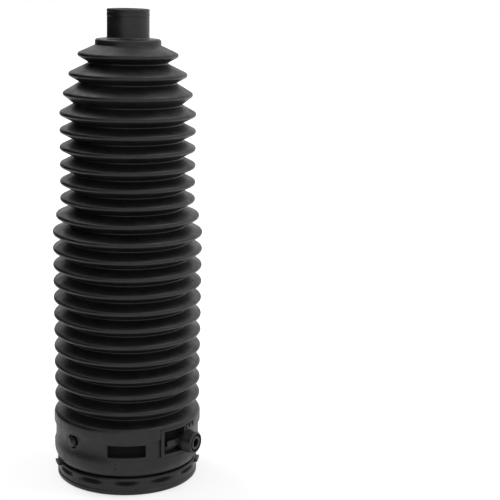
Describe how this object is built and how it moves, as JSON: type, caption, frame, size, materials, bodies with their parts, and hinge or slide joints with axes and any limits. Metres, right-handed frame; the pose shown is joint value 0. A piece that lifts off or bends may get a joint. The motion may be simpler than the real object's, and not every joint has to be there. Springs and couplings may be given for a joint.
{
  "type": "bellows boot",
  "caption": "Folded rubber boot that seals a moving tie rod to its housing, with a small plain neck, a large moulded cuff and a breather port.",
  "frame": {"origin": "centre of the base, on the boot's axis, where the large end stands", "axes": "+Z along the boot's axis from the large end to the neck; -Y is the side with the long recess; the breather port lies between -Y and +X"},
  "size_m": [0.0729, 0.0728, 0.23],
  "materials": {
    "black_rubber": "satin moulded black rubber"
  },
  "bodies": {
    "root": {"bellows_boot": "black_rubber"}
  },
  "joints": []
}
